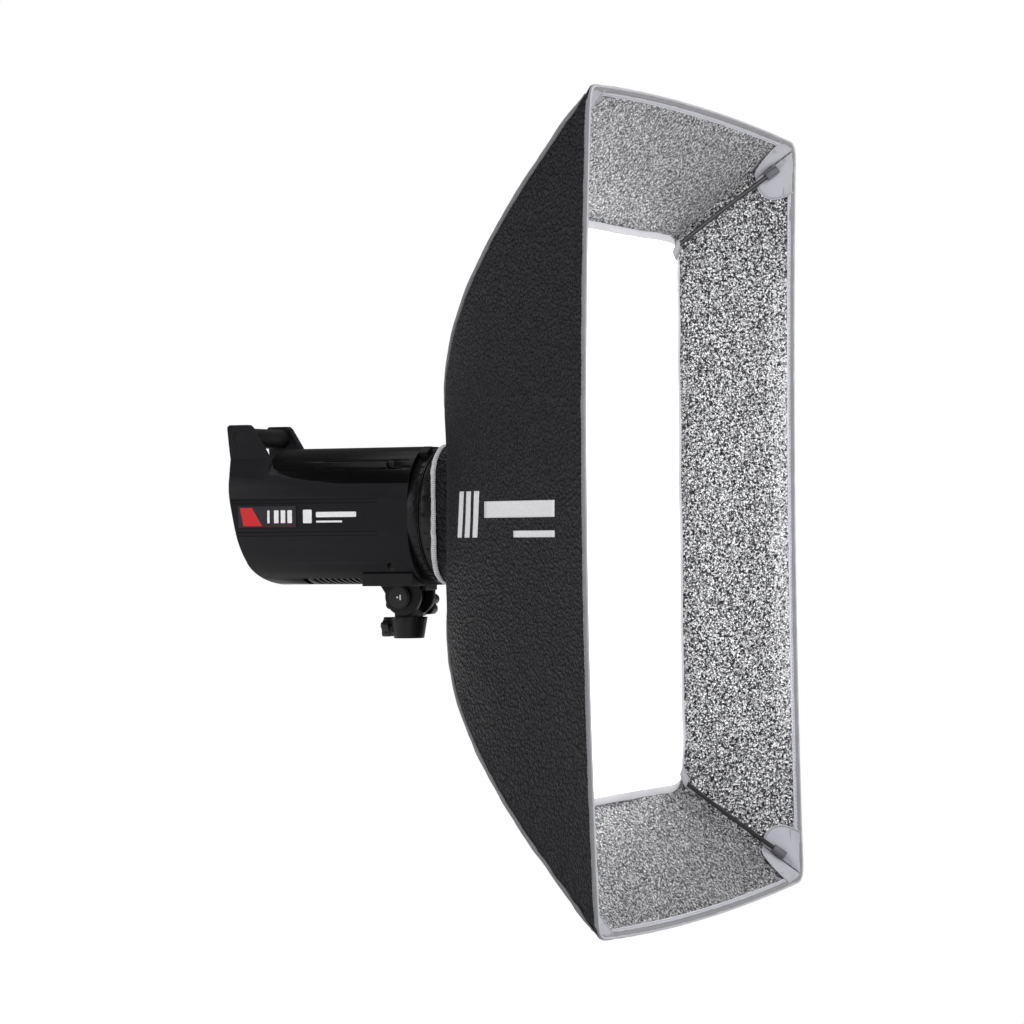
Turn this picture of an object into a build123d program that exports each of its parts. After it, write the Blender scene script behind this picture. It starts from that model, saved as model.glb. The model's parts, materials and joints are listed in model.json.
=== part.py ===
"""Rectangular softbox on a studio flash head with its tilting stand bracket.

Frame: millimetres, +Z up, the light leaves along -Y. The origin is the middle of the mouth of the
stand socket. Everything on the head is drawn about the optical axis, which runs along Y, and is
lifted by AXIS_Z when it is saved.
"""
import os
from math import cos, radians, sin, sqrt, tan

from build123d import *

# ---- driving dimensions ---------------------------------------------------------------------
AXIS_Z = 128.0          # optical axis above the mouth of the stand socket
HINGE_Z = -85.0         # tilt hinge below the optical axis
FACE_WIDTH = 600.0      # front opening of the softbox
FACE_HEIGHT = 800.0
FRONT_Y = -328.0        # plane of the front opening
ROOT_Y = -84.0          # where the fabric turns outwards from its sleeve
COLLAR_FRONT = -69.0    # collar band round the fabric's sleeve
COLLAR_BACK = -59.0
ROOT_R = 70.0           # fabric radius at the speedring
FRONT_CORNER = 12.0     # corner radius of the fabric at the front
TIP_ANGLE = 45.0        # rod angle from the optical axis at its tip
ROOT_ANGLE = 89.0       # rod angle from the optical axis at its socket
ROD_CURVE = 2.18        # how quickly the rod straightens
FABRIC = 2.5            # outer cloth and lining together
ROD_R = 2.4
ROD_INSET = 12.0        # rod centre below the outer face of the fabric
STATIONS = (0.0, 0.06, 0.14, 0.24, 0.36, 0.5, 0.65, 0.82, 1.0)
DIFFUSER_DEPTH = 109.0  # inner diffuser behind the front opening
DIFFUSER_THICK = 1.6
DIFFUSER_HALF_W = 229.0
DIFFUSER_HALF_H = 300.0
DIFFUSER_CUT = 38.0
STRAP_BACK = 6.5        # elastic tab, inwards from the clipped corner
PIPING_R = 1.8
PIPING_OFFSET = 4.0     # piping centre outside the seam
ROD_START = 0.0
ROD_END = 0.93
SOCKET_IN = 7.0         # rod socket block, inwards from the seam's root
SOCKET_OUT = 12.0
LATCH_R = 3.4
RING_FRONT = ROOT_Y - 1.7   # front face of the speedring
ROD_Y = ROOT_Y - ROD_INSET

HEAD_W = 134.0          # flash head casing
HEAD_H = 143.0
HEAD_CORNER = 58.0
WALL = 3.0
HEAD_FRONT = -30.0
PANEL_Y = 130.0         # inner face of the rear panel
PANEL_THICK = 3.0
COVER_END = 136.0       # rear end of the top cover
CHEEK_IN = 41.0         # handle cheeks, distance from the middle
CHEEK_OUT = 51.0
BAR_Y = 171.0           # handle bar
BAR_Z = 83.5
TRAY_HALF = 38.0        # vented tray under the head
TRAY_TOP = -55.0
SCREW_Y = -4.0
SCREW_Z = 53.0
DIAL_AT = (0.0, -8.0)   # rear controls, (x, z) from the optical axis
BUTTON_X = (-26.0, 0.0, 26.0)
BUTTON_Z = -32.0
SWITCH_AT = (-22.0, -52.0)
INLET_AT = (16.0, -53.0)
FAN_Y = 104.0
FAN_Z = 6.0

RING_R = 70.0           # outer radius of the ring stack
TUBE_OUT = 55.4         # adapter tube that carries the speedring and the lock ring
TUBE_IN = 49.0
RUN_FIT = 0.05          # radial play of a running fit
GAP = 0.3               # clearance between moving neighbours

FORK_IN = 14.0          # fork plates, distance from the middle
FORK_OUT = 20.0
FORK_R = 19.0
AXLE_R = 5.0
EAR_R = 11.2
SOCKET_R = 8.05         # bore for a 16 mm spigot
SOCKET_DEPTH = 30.0
BOSS_TOP_R = 19.5
BOSS_BOTTOM_R = 15.8
BOSS_H = 22.0
STUD_R = 4.0            # clamping screw of the stand socket
KNOB_Z = 11.0
LEVER_HUB_R = 11.5
LEVER_LOBES = ((-13.5, -3.0, 5.5), (-11.0, -13.0, 6.0), (0.0, -15.0, 6.0))  # (y, z, radius)

HALF_W = FACE_WIDTH / 2
HALF_H = FACE_HEIGHT / 2
SPREAD = sqrt((HALF_W - ROOT_R) ** 2 + (HALF_H - ROOT_R) ** 2)
SEAM_X = (HALF_W - ROOT_R) / SPREAD
SEAM_Z = (HALF_H - ROOT_R) / SPREAD
CORNERS = {"upper_left": (-1, 1), "upper_right": (1, 1), "lower_left": (-1, -1), "lower_right": (1, -1)}


# ---- helpers --------------------------------------------------------------------------------
def block(x0, x1, y0, y1, z0, z1):
    return Pos((x0 + x1) / 2, (y0 + y1) / 2, (z0 + z1) / 2) * Box(x1 - x0, y1 - y0, z1 - z0)


def rod_x(radius, x0, x1, y=0.0, z=0.0):
    return Pos((x0 + x1) / 2, y, z) * Rot(0, 90, 0) * Cylinder(radius, x1 - x0)


def rod_y(radius, y0, y1, x=0.0, z=0.0):
    return Pos(x, (y0 + y1) / 2, z) * Rot(90, 0, 0) * Cylinder(radius, y1 - y0)


def ring_y(outer, inner, y0, y1):
    return rod_y(outer, y0, y1) - rod_y(inner, y0 - 1, y1 + 1)


def section(half_w, half_h, corner, y):
    plane = Plane(origin=(0, y, 0), x_dir=(1, 0, 0), z_dir=(0, -1, 0))
    return plane * RectangleRounded(2 * half_w, 2 * half_h, corner)


def prism_y(half_w, half_h, corner, y0, y1):
    return extrude(section(half_w, half_h, corner, y1), amount=y1 - y0)


def side_prism(outline, x0, x1):
    """A closed outline in the YZ plane, extruded from x0 to x1."""
    plane = Plane(origin=(x0, 0, 0), x_dir=(0, 1, 0), z_dir=(1, 0, 0))
    return extrude(plane * outline, amount=x1 - x0)


def polygon(points):
    return make_face(Polyline(*points, close=True))


def group(shapes):
    return Compound([solid for shape in shapes for solid in shape.solids()])


# ---- the bent rod: a strip clamped in its socket, straight at its tip -------------------------
def rod_angle(t):
    return radians(TIP_ANGLE + (ROOT_ANGLE - TIP_ANGLE) * (1 - t) ** ROD_CURVE)


def rod_reach(t, steps=60):
    """Share of the spread and of the depth that the rod has covered at t, from 0 to 1."""
    spread = 0.0
    depth = 0.0
    totals = [0.0, 0.0]
    for i in range(steps):
        middle = (i + 0.5) / steps
        totals[0] += sin(rod_angle(middle))
        totals[1] += cos(rod_angle(middle))
        share = min(max(t * steps - i, 0.0), 1.0)
        if share > 0:
            spread += share * sin(rod_angle((i + share / 2) / steps))
            depth += share * cos(rod_angle((i + share / 2) / steps))
    return spread / totals[0], depth / totals[1]


def fabric_section(t, inset):
    """The fabric's cross-section at t, moved inwards along its own slope by inset."""
    spread, depth = rod_reach(t)
    slope = rod_angle(t)
    corner = FRONT_CORNER + (ROOT_R - 0.6 - FRONT_CORNER) * (1 - spread) ** 3
    y = ROOT_Y + (FRONT_Y - ROOT_Y) * depth - inset * sin(slope)
    pull = inset * cos(slope) / 0.75
    half_w = ROOT_R + (HALF_W - ROOT_R) * spread - pull
    half_h = ROOT_R + (HALF_H - ROOT_R) * spread - pull
    return section(half_w, half_h, corner, y)


def fabric_solid(inset):
    return loft([fabric_section(t, inset) for t in STATIONS], ruled=True)


def fabric_shell(inset, thickness):
    return fabric_solid(inset) - fabric_solid(inset + thickness)


def seam_point(t, inset):
    """Distance along the seam's plane and Y of the seam at t, moved inwards by inset."""
    spread, depth = rod_reach(t)
    slope = rod_angle(t)
    corner = FRONT_CORNER + (ROOT_R - 0.6 - FRONT_CORNER) * (1 - spread) ** 3
    lean = corner * (SEAM_X + SEAM_Z)
    reach = SPREAD * spread - lean + sqrt(lean ** 2 - corner ** 2)
    y = ROOT_Y + (FRONT_Y - ROOT_Y) * depth
    return reach - inset * cos(slope), y - inset * sin(slope)


def seam_space(reach, y, side, level):
    return (side * (ROOT_R + reach * SEAM_X), y, level * (ROOT_R + reach * SEAM_Z))


def seam_path(start, end, inset, side, level, steps=6):
    points = []
    for i in range(steps + 1):
        t = start + (end - start) * i / steps
        points.append(Vector(*seam_space(*seam_point(t, inset), side, level)))
    radii = []
    for before, here, after in zip(points, points[1:], points[2:]):
        turn = radians((here - before).get_angle(after - here))
        shorter = min((here - before).length, (after - here).length)
        radii.append(0.45 * shorter / tan(turn / 2))
    return FilletPolyline(*points, radius=radii)


def tube(path, radius):
    return sweep(Plane(origin=path @ 0, z_dir=path % 0) * Circle(radius), path=path)


# ---- softbox --------------------------------------------------------------------------------
def fabric_panels():
    """Four shaped panels, cut apart in the planes of the seams."""
    shell = fabric_shell(0, FABRIC)
    shell -= rod_y(ROOT_R - FABRIC, ROOT_Y - 12, ROOT_Y + 5)
    shell &= block(-400, 400, FRONT_Y + 6, ROOT_Y, -500, 500)
    shell += ring_y(ROOT_R, ROOT_R - FABRIC, ROOT_Y - 1, COLLAR_BACK - GAP)
    far = 2.0
    apex = ROOT_R - SEAM_Z / SEAM_X * ROOT_R
    edge_x = ROOT_R + far * (HALF_W - ROOT_R)
    edge_z = ROOT_R + far * (HALF_H - ROOT_R)
    wedge_plane = Plane(origin=(0, FRONT_Y - 20, 0), x_dir=(-1, 0, 0), z_dir=(0, 1, 0))
    upper = extrude(wedge_plane * polygon([(0, apex), (edge_x, edge_z), (-edge_x, edge_z)]), amount=400)
    lower = mirror(upper, about=Plane.XY)
    sides = shell - upper - lower
    return {
        "fabric_panel_top": shell & upper,
        "fabric_panel_bottom": shell & lower,
        "fabric_panel_left": sides & block(-400, 0, -400, 0, -500, 500),
        "fabric_panel_right": sides & block(0, 400, -400, 0, -500, 500),
    }


def front_binding():
    """Tape bound round the edge of the opening."""
    return prism_y(HALF_W, HALF_H, 16, FRONT_Y, FRONT_Y + 6) - prism_y(
        HALF_W - 8, HALF_H - 8, 10, FRONT_Y - 1, FRONT_Y + 7)


def hook_strip():
    """Hook tape inside the opening, for a front diffuser."""
    return fabric_shell(FABRIC, 1.3) & block(-400, 400, FRONT_Y + 6, FRONT_Y + 20, -500, 500)


def corner_pockets():
    lining = fabric_shell(FABRIC, 1.5) & block(-400, 400, FRONT_Y + 22, FRONT_Y + 62, -500, 500)
    inner_x = HALF_W - 92
    inner_z = HALF_H - 92
    return group([lining & block(min(sx * inner_x, sx * 320), max(sx * inner_x, sx * 320), -400, 0,
                                 min(sz * inner_z, sz * 420), max(sz * inner_z, sz * 420))
                  for sx, sz in CORNERS.values()])


def rod_solid(side, level):
    """Rod from its socket on the speedring out to the corner."""
    return tube(seam_path(ROD_START, ROD_END, ROD_INSET, side, level), ROD_R)


def rod_tip(side, level, rod):
    end, y_end = seam_point(ROD_END, ROD_INSET)
    slope = rod_angle(ROD_END)
    back = 11.0
    front = 4.0
    tail = Vector(*seam_space(end - back * sin(slope), y_end + back * cos(slope), side, level))
    nose = Vector(*seam_space(end + front * sin(slope), y_end - front * cos(slope), side, level))
    axis = nose - tail
    cap = extrude(Plane(origin=tail, z_dir=axis.normalized()) * Circle(4.4), amount=axis.length)
    return cap - rod


def socket_plane(side, level):
    reach, _ = seam_point(0.0, 0.0)
    origin = Vector(*seam_space(reach, ROD_Y, side, level))
    return Plane(origin=origin, x_dir=(side * SEAM_X, 0, level * SEAM_Z), z_dir=(0, -1, 0))


def latch_hole(side, level, radius, y0, y1):
    plane = socket_plane(side, level)
    centre = plane.from_local_coords(Vector(4.0, 0, 0))
    return rod_y(radius, y0, y1, centre.X, centre.Z)


def speedring(rods):
    """Ring that turns on the adapter tube and carries the four rod sockets."""
    body = ring_y(RING_R, TUBE_OUT + RUN_FIT, COLLAR_BACK, -46.3)
    body += ring_y(ROOT_R - FABRIC - GAP, TUBE_OUT + RUN_FIT, RING_FRONT, COLLAR_BACK)
    for side, level in CORNERS.values():
        plane = socket_plane(side, level)
        middle = (SOCKET_OUT - SOCKET_IN) / 2
        body += plane * (Pos(middle, 0, 0.5) * Box(SOCKET_OUT + SOCKET_IN, 15, 15))
        body += plane * (Pos(-SOCKET_IN + 1.8, 0, -8.0) * Box(3.6, 11, 6.0))
        body -= latch_hole(side, level, LATCH_R + RUN_FIT, ROD_Y - 14, ROD_Y - 3.4)
    body -= ring_y(62.6, TUBE_OUT - 2, RING_FRONT - 5, -70.7)
    for rod in rods:
        body -= rod
    for index in range(24):
        notch = Rot(0, index * 15.0, 0) * block(RING_R - 0.8, RING_R + 1, -57.5, -49.0, -1.0, 1.0)
        body -= notch
    return body


def rod_latch(side, level):
    pin = latch_hole(side, level, LATCH_R, ROD_Y - 12, ROD_Y - 5.6)
    return pin + latch_hole(side, level, LATCH_R + 1.4, ROD_Y - 14, ROD_Y - 12)


def ring_screws():
    screws = []
    for index in range(8):
        angle = radians(22.5 + 45 * index)
        screws.append(rod_y(1.8, RING_FRONT - 1.5, RING_FRONT, 64.9 * cos(angle), 64.9 * sin(angle)))
    return group(screws)


def rear_collar():
    return ring_y(RING_R + 2.2, RING_R + 0.2, COLLAR_FRONT, COLLAR_BACK)


def inner_diffuser():
    y = FRONT_Y + DIFFUSER_DEPTH
    outline = Rectangle(2 * DIFFUSER_HALF_W, 2 * DIFFUSER_HALF_H)
    outline = chamfer(outline.vertices(), DIFFUSER_CUT)
    plane = Plane(origin=(0, y, 0), x_dir=(1, 0, 0), z_dir=(0, -1, 0))
    return extrude(plane * outline, amount=DIFFUSER_THICK)


def diffuser_straps():
    """Elastic tabs from the clipped corners of the diffuser towards the rods."""
    y = FRONT_Y + DIFFUSER_DEPTH - DIFFUSER_THICK
    straps = []
    for side, level in CORNERS.values():
        corner_x = side * (DIFFUSER_HALF_W - DIFFUSER_CUT / 2 - STRAP_BACK)
        corner_z = level * (DIFFUSER_HALF_H - DIFFUSER_CUT / 2 - STRAP_BACK)
        turn = -45.0 * side * level
        straps.append(Pos(corner_x, y - 0.5, corner_z) * Rot(0, turn, 0) * Box(22, 1.0, 12))
    return group(straps)


def seam_piping():
    return group([tube(seam_path(0.08, 0.965, -PIPING_OFFSET, side, level, 12), PIPING_R) for side, level in CORNERS.values()])


def badge_patch():
    cover = fabric_solid(-0.8) - fabric_solid(0)
    return cover & block(-400, 0, -282, -148, -24, 16)


# ---- flash head -----------------------------------------------------------------------------
def parting_line():
    return [(-60, 33), (48, 33.5), (82, 37), (105, 40.5), (120, 45), (130, 51), (139, 63), (150, 81), (158.5, 94.5),
            (161.5, 97)]


def side_region(x0, x1):
    """Everything below the parting line, back to the slanted rear outline."""
    edge = parting_line()
    outline = Polyline(*edge, (182.5, 97), (185, 94.5))
    outline += ThreePointArc((185, 94.5), (176, 25), (161, -46))
    outline += ThreePointArc((161, -46), (150, -66), (128, -73))
    outline += Polyline((128, -73), (110, -80), (-60, -80), edge[0])
    return side_prism(make_face(outline), x0, x1)


def head_outer():
    return prism_y(HEAD_W / 2, HEAD_H / 2, HEAD_CORNER, HEAD_FRONT, 200)


def head_shell():
    hollow = prism_y(HEAD_W / 2 - WALL, HEAD_H / 2 - WALL, HEAD_CORNER - WALL, HEAD_FRONT + WALL, 201)
    return head_outer() - hollow - rod_y(62, HEAD_FRONT - 1, HEAD_FRONT + 5)


def side_cover(side):
    """One flank of the casing with its handle cheek, which leans in to the grip."""
    shell = head_shell()
    foot = [(CHEEK_IN, 30), (64, 30), (60.4, 40), (CHEEK_OUT, 61), (CHEEK_OUT, 120), (CHEEK_IN, 120)]
    plane = Plane(origin=(0, 200, 0), x_dir=(1, 0, 0), z_dir=(0, -1, 0))
    cheek = extrude(plane * polygon([(side * x, z) for x, z in foot]), amount=200 - PANEL_Y - PANEL_THICK - GAP)
    cover = (shell + cheek) & side_region(-80, 80)
    cover &= block(min(0, side * 80), max(0, side * 80), -60, 210, -90, 110)
    cover -= block(-CHEEK_IN, CHEEK_IN, COVER_END, 210, 36, 120)
    cover -= block(-TRAY_HALF, TRAY_HALF, -60, 210, -90, TRAY_TOP)
    cover -= rod_x(4.2, min(side * 40, side * 70), max(side * 40, side * 70), SCREW_Y, -SCREW_Z)
    for z in (17.5, 14.0, -16.0, -20.0):
        cover -= block(min(side * 66.1, side * 80), max(side * 66.1, side * 80), 4, 172, z - 0.5, z + 0.5)
    cover -= rod_x(6.5, min(side * 49, side * 60), max(side * 49, side * 60), BAR_Y, BAR_Z)
    solids = sorted(cover.solids(), key=lambda solid: solid.volume)
    return solids[-1]


def top_cover():
    above = polygon(parting_line()[:-3] + [(139, 90), (-60, 90)])
    cover = head_shell() & side_prism(above, -80, 80)
    cover &= block(-80, 80, -60, COVER_END, -90, 110)
    for side in (-1, 1):
        cover -= rod_x(4.2, min(side * 40, side * 70), max(side * 40, side * 70), SCREW_Y, SCREW_Z)
    return cover


def bottom_tray():
    tray = head_shell() & side_region(-80, 80) & block(-TRAY_HALF, TRAY_HALF, -60, 210, -90, TRAY_TOP)
    for index in range(9):
        y = 35.0 + 6.9 * index
        for side in (-1, 1):
            slot = Pos(side * 26, y, -69) * Rot(0, 0, side * 12) * Box(20, 3.0, 16)
            tray -= slot
    for side in (-1, 1):
        tray -= Pos(side * 26, 103, -69) * Box(20, 6.0, 16)
    return tray


def rear_panel():
    panel = prism_y(HEAD_W / 2 - WALL, HEAD_H / 2 - WALL, HEAD_CORNER - WALL, PANEL_Y, PANEL_Y + PANEL_THICK)
    panel -= rod_y(3.0 + RUN_FIT, PANEL_Y - 1, PANEL_Y + 4, *DIAL_AT)
    for x in BUTTON_X:
        panel -= rod_y(5.0 + RUN_FIT, PANEL_Y - 1, PANEL_Y + 4, x, BUTTON_Z)
    panel -= block(SWITCH_AT[0] - 6.0, SWITCH_AT[0] + 6.0, PANEL_Y - 1, PANEL_Y + 4,
                   SWITCH_AT[1] - 8.5, SWITCH_AT[1] + 8.5)
    panel -= block(INLET_AT[0] - 14, INLET_AT[0] + 14, PANEL_Y - 1, PANEL_Y + 4, INLET_AT[1] - 7, INLET_AT[1] + 7)
    panel -= block(-24, 24, PANEL_Y + 2, PANEL_Y + 4, 16, 44)
    for x in (-36, 36):
        panel -= rod_y(4.0, PANEL_Y - 1, PANEL_Y + 4, x, -8)
    return panel


def display_window():
    return block(-24, 24, PANEL_Y + 2, PANEL_Y + PANEL_THICK + 0.6, 16, 44)


def control_dial():
    knob = rod_y(14, PANEL_Y + PANEL_THICK + GAP, PANEL_Y + 15, *DIAL_AT)
    for index in range(20):
        angle = radians(18 * index)
        knob -= rod_y(1.2, PANEL_Y + 5, PANEL_Y + 16, DIAL_AT[0] + 14.4 * cos(angle), DIAL_AT[1] + 14.4 * sin(angle))
    return knob + rod_y(3, PANEL_Y - 4, PANEL_Y + 5, *DIAL_AT)


def push_button(x):
    return rod_y(5, PANEL_Y - 1.5, PANEL_Y + PANEL_THICK + 2.5, x, BUTTON_Z) + rod_y(
        6.2, PANEL_Y - 3.0, PANEL_Y - GAP, x, BUTTON_Z)


def power_switch():
    x, z = SWITCH_AT
    rocker = rod_x(8, x - 5.6, x + 5.6, PANEL_Y, z)
    return rocker + block(x - 5.6, x + 5.6, PANEL_Y, PANEL_Y + 9.2, z - 1.5, z + 1.5)


def mains_inlet():
    x, z = INLET_AT
    body = block(x - 14, x + 14, PANEL_Y - 16, PANEL_Y + PANEL_THICK + 0.5, z - 7, z + 7)
    body -= block(x - 11.5, x + 11.5, PANEL_Y - 12, PANEL_Y + 9, z - 5.2, z + 5.2)
    for dx in (-6.5, 0, 6.5):
        body += block(x + dx - 0.9, x + dx + 0.9, PANEL_Y - 13, PANEL_Y - 1, z - 2, z + 2)
    return body


def sync_sockets():
    return group([rod_y(4, PANEL_Y - 8, PANEL_Y + PANEL_THICK + 0.6, x, -8)
                  - rod_y(1.8, PANEL_Y - 6, PANEL_Y + 5, x, -8) for x in (-36, 36)])


def handle_bar():
    grip = RectangleRounded(26, 20.4, 9)
    plane = Plane(origin=(-CHEEK_IN, BAR_Y, BAR_Z), x_dir=(0, 1, 0), z_dir=(1, 0, 0))
    return extrude(plane * grip, amount=2 * CHEEK_IN)


def handle_inserts():
    return group([rod_x(6.4, 49, 50.6, BAR_Y, BAR_Z), rod_x(6.4, -50.6, -49, BAR_Y, BAR_Z)])


def label_plates():
    return group([block(67, 67.8, 97, 164, -11, 11), block(-67.8, -67, 97, 164, -11, 11)])


def casing_screws():
    screws = []
    for side in (-1, 1):
        for z in (SCREW_Z, -SCREW_Z):
            head = rod_x(4.1, min(side * 44, side * 48.5), max(side * 44, side * 48.5), SCREW_Y, z)
            slot = block(min(side * 47.3, side * 50), max(side * 47.3, side * 50), SCREW_Y - 3, SCREW_Y + 3,
                         z - 0.6, z + 0.6)
            screws.append(head - slot)
    return group(screws)


def front_flange():
    return ring_y(61.9, 48.0, HEAD_FRONT, HEAD_FRONT + 6)


def reflector_plate():
    return rod_y(47.8, HEAD_FRONT + 3, HEAD_FRONT + 6)


def flash_tube():
    ring = Pos(0, -50, 0) * Rot(90, 0, 0) * Torus(30, 4)
    legs = [rod_y(3.6, -50, HEAD_FRONT + 3, 30, 5 * s) for s in (-1, 1)]
    return ring + legs[0] + legs[1]


def modelling_lamp():
    base = rod_y(11, -44, HEAD_FRONT + 3)
    bulb = rod_y(8, -72, -44)
    return base + bulb + Pos(0, -72, 0) * Sphere(8)


def glass_dome():
    outer = rod_y(44.5, -80, HEAD_FRONT + 3) + Pos(0, -80, 0) * (Sphere(44.5) & block(-50, 50, -25, 0, -50, 50))
    inner = rod_y(42.5, -80, HEAD_FRONT + 4) + Pos(0, -80, 0) * (Sphere(42.5) & block(-50, 50, -23, 0, -50, 50))
    return outer - inner


def adapter_ring():
    """Bayonet tube locked into the head, with the thrust flange between the two turning rings."""
    body = ring_y(TUBE_OUT, TUBE_IN, -74, HEAD_FRONT)
    body += ring_y(68, TUBE_IN, -46, -43)
    return body


def retaining_ring():
    return ring_y(62.2, TUBE_OUT, -74, -71)


def lock_ring():
    body = ring_y(RING_R - 1.2, TUBE_OUT + RUN_FIT, -42.7, HEAD_FRONT - GAP)
    body += ring_y(RING_R, RING_R - 3, -41.5, -36.5)
    for index in range(40):
        body -= Rot(0, index * 9.0, 0) * block(RING_R - 0.7, RING_R + 1, -42, -36, -1.2, 1.2)
    body += Rot(0, 62, 0) * block(-RING_R - 7, -RING_R + 3, -41.5, -33, -7, 7)
    return body


def circuit_board():
    return block(-46, 46, -8, 96, 17, 19)


def capacitors():
    return group([rod_y(17, 28, 92, x, z) for x in (-18, 18) for z in (-38, -2)])


def fan_frame():
    frame = block(-31, 31, FAN_Y, FAN_Y + 14, FAN_Z - 31, FAN_Z + 31) - rod_y(29, FAN_Y - 1, FAN_Y + 15, 0, FAN_Z)
    for turn in (0, 120, 240):
        frame += Pos(0, 0, FAN_Z) * Rot(0, turn, 0) * block(0, 30, FAN_Y + 12, FAN_Y + 14, -1.5, 1.5)
    frame += rod_y(12, FAN_Y + 12, FAN_Y + 14, 0, FAN_Z)
    return frame - rod_y(2 + RUN_FIT, FAN_Y, FAN_Y + 15, 0, FAN_Z)


def fan_rotor():
    rotor = rod_y(11, FAN_Y + 1, FAN_Y + 11.5, 0, FAN_Z)
    for index in range(7):
        blade = Rot(0, 360 / 7 * index, 0) * Pos(19, FAN_Y + 6.2, 0) * Rot(32, 0, 0) * Box(18, 1.4, 12)
        rotor += Pos(0, 0, FAN_Z) * blade
    return rotor + rod_y(2, FAN_Y + 2, FAN_Y + 14, 0, FAN_Z)


# ---- stand bracket --------------------------------------------------------------------------
def fork_plate(x0, x1):
    outline = Polyline((-22, -72), (24, -72), (18, HINGE_Z + 4))
    outline += ThreePointArc((18, HINGE_Z + 4), (-1, HINGE_Z - FORK_R), (-22, HINGE_Z))
    outline += Line((-22, HINGE_Z), (-22, -72))
    return side_prism(make_face(outline), x0, x1)


def tilt_fork():
    """Two hinge plates on pads that hug the underside of the head."""
    pads = block(FORK_IN, 46, -26, 32, -73, -60) + block(-46, -FORK_IN, -26, 32, -73, -60)
    fork = pads + fork_plate(-FORK_OUT, -FORK_IN) + fork_plate(FORK_IN, FORK_OUT)
    fork += block(-FORK_IN - 1, FORK_IN + 1, -26, -15, -78, -60)
    fork -= head_outer()
    return fork - rod_x(AXLE_R, -40, 40, 0, HINGE_Z)


def tilt_axle():
    return rod_x(AXLE_R, -21, 24, 0, HINGE_Z)


def pivot_cap():
    cap = rod_x(12, -24.5, -FORK_OUT - 1, 0, HINGE_Z) + rod_x(10.5, -26, -24.5, 0, HINGE_Z)
    return cap + rod_x(9, -FORK_OUT - 1, -FORK_OUT, 0, HINGE_Z) - tilt_axle()


def tilt_lever():
    """Clamping lever on the end of the tilt axle, with a lobed tail in front of its hub."""
    inner = FORK_OUT + 4
    lever = rod_x(LEVER_HUB_R, FORK_OUT + GAP, 36, 0, HINGE_Z)
    for y, z, radius in LEVER_LOBES:
        lever += rod_x(radius, inner, 36, y, HINGE_Z + z)
    lever += side_prism(polygon([(0, HINGE_Z + 6), (0, HINGE_Z - 9), (33, HINGE_Z - 13.5), (33, HINGE_Z - 4)]), inner, 33)
    lever += rod_x(4.8, inner, 33, 33, HINGE_Z - 8.7)
    return lever - rod_x(AXLE_R + RUN_FIT, 15, 24 + GAP, 0, HINGE_Z)


def stand_yoke():
    """Ear for the tilt axle on top of the socket for the stand's spigot."""
    base = -AXIS_Z
    boss = Pos(0, 0, base + BOSS_H / 2) * Cone(BOSS_BOTTOM_R, BOSS_TOP_R, BOSS_H)
    neck = block(-FORK_IN + GAP, FORK_IN - GAP, -10, 10, base + BOSS_H - 1, HINGE_Z)
    ear = rod_x(EAR_R, -FORK_IN + GAP, FORK_IN - GAP, 0, HINGE_Z)
    body = boss + neck + ear
    body -= rod_x(AXLE_R + RUN_FIT, -30, 30, 0, HINGE_Z)
    body -= Pos(0, 0, base + SOCKET_DEPTH / 2 - 0.5) * Cylinder(SOCKET_R, SOCKET_DEPTH + 1)
    body -= rod_y(STUD_R + RUN_FIT, 0, 30, 0, base + KNOB_Z)
    for index in range(12):
        body -= Rot(0, 0, 30 * index + 15) * block(BOSS_TOP_R - 0.9, BOSS_TOP_R + 3, -1, 1, base, base + BOSS_H + 1)
    return body


def stand_knob():
    """Clamping screw for the spigot with a lobed knob."""
    base = -AXIS_Z
    knob = rod_y(8.5, 20.0, 28, 0, base + KNOB_Z)
    for index in range(5):
        angle = radians(72 * index + 90)
        knob += rod_y(3.4, 20.0, 28, 7.5 * cos(angle), base + KNOB_Z + 7.5 * sin(angle))
    return knob + rod_y(STUD_R, 9.0, 21, 0, base + KNOB_Z)


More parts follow.
